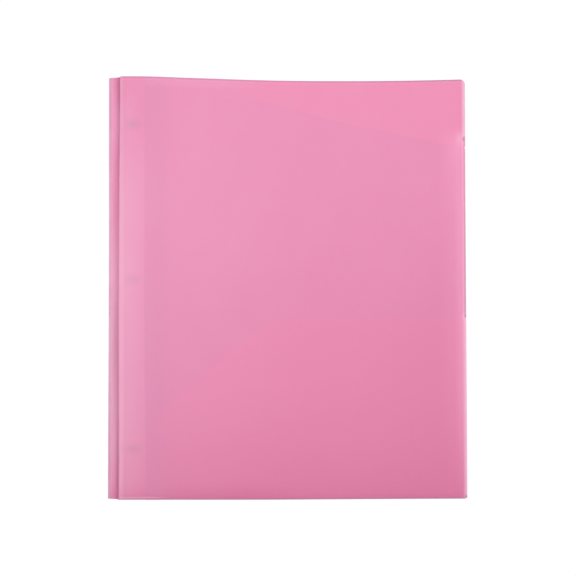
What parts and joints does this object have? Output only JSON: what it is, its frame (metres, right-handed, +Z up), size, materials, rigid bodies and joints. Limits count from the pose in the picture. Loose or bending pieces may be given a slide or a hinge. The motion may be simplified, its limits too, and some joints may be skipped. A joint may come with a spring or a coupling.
{
  "type": "plastic pocket folder",
  "caption": "Pink translucent plastic folder, closed flat: creased spine, a tall swept pocket and a low slanted pocket inside each cover, and metal tang fasteners that fold down.",
  "frame": {"origin": "middle of the folder's outline, on the surface that the back cover lies on", "axes": "+X from the spine to the free edges, +Y to the top edge of the pages, +Z up from the back cover to the front cover"},
  "size_m": [0.25, 0.2938, 0.0071],
  "materials": {
    "cover_sheet": "translucent polypropylene with a fine matte grain",
    "pocket_sheet": "translucent polypropylene with a fine matte grain",
    "strip_sheet": "translucent polypropylene, smooth",
    "tinned_steel": "tinned, rolled strip"
  },
  "bodies": {
    "back_half": {"back_cover": "cover_sheet", "back_crease": "cover_sheet", "back_tall_pocket": "pocket_sheet", "back_low_pocket": "pocket_sheet", "fastener_strip": "strip_sheet", "top_fastener_base": "tinned_steel", "middle_fastener_base": "tinned_steel", "bottom_fastener_base": "tinned_steel"},
    "spine": {"spine": "cover_sheet", "front_crease": "cover_sheet"},
    "front_half": {"front_cover": "cover_sheet", "front_tall_pocket": "pocket_sheet", "front_low_pocket": "pocket_sheet"},
    "top_upper_tang": {"top_fastener_upper_tang": "tinned_steel"},
    "top_lower_tang": {"top_fastener_lower_tang": "tinned_steel"},
    "middle_upper_tang": {"middle_fastener_upper_tang": "tinned_steel"},
    "middle_lower_tang": {"middle_fastener_lower_tang": "tinned_steel"},
    "bottom_upper_tang": {"bottom_fastener_upper_tang": "tinned_steel"},
    "bottom_lower_tang": {"bottom_fastener_lower_tang": "tinned_steel"}
  },
  "joints": [
    {"name": "spine_hinge", "type": "hinge", "parent": "back_half", "child": "spine", "pos_m": [-0.12442, 0, 0.00065], "axis": [0, -1, 0], "range_deg": [0, 142], "deforming": ["back_crease"]},
    {"name": "cover_hinge", "type": "hinge", "parent": "spine", "child": "front_half", "pos_m": [-0.11632, 0, 0.0068], "axis": [0, -1, 0], "range_deg": [0, 38], "deforming": ["front_crease"]},
    {"name": "top_upper_tang_bend", "type": "hinge", "parent": "back_half", "child": "top_upper_tang", "pos_m": [-0.10702, 0.11155, 0.00245], "axis": [1, 0, 0], "range_deg": [0, 96]},
    {"name": "top_lower_tang_bend", "type": "hinge", "parent": "back_half", "child": "top_lower_tang", "pos_m": [-0.10702, 0.10435, 0.00245], "axis": [-1, 0, 0], "range_deg": [0, 96]},
    {"name": "middle_upper_tang_bend", "type": "hinge", "parent": "back_half", "child": "middle_upper_tang", "pos_m": [-0.10702, 0.0036, 0.00245], "axis": [1, 0, 0], "range_deg": [0, 96]},
    {"name": "middle_lower_tang_bend", "type": "hinge", "parent": "back_half", "child": "middle_lower_tang", "pos_m": [-0.10702, -0.0036, 0.00245], "axis": [-1, 0, 0], "range_deg": [0, 96]},
    {"name": "bottom_upper_tang_bend", "type": "hinge", "parent": "back_half", "child": "bottom_upper_tang", "pos_m": [-0.10702, -0.10435, 0.00245], "axis": [1, 0, 0], "range_deg": [0, 96]},
    {"name": "bottom_lower_tang_bend", "type": "hinge", "parent": "back_half", "child": "bottom_lower_tang", "pos_m": [-0.10702, -0.11155, 0.00245], "axis": [-1, 0, 0], "range_deg": [0, 96]}
  ],
  "couplings": [
    {"joint": "top_upper_tang_bend", "follows": "spine_hinge", "ratio": 0.6338},
    {"joint": "top_lower_tang_bend", "follows": "spine_hinge", "ratio": 0.6338},
    {"joint": "middle_upper_tang_bend", "follows": "spine_hinge", "ratio": 0.6338},
    {"joint": "middle_lower_tang_bend", "follows": "spine_hinge", "ratio": 0.6338},
    {"joint": "bottom_upper_tang_bend", "follows": "spine_hinge", "ratio": 0.6338},
    {"joint": "bottom_lower_tang_bend", "follows": "spine_hinge", "ratio": 0.6338}
  ]
}
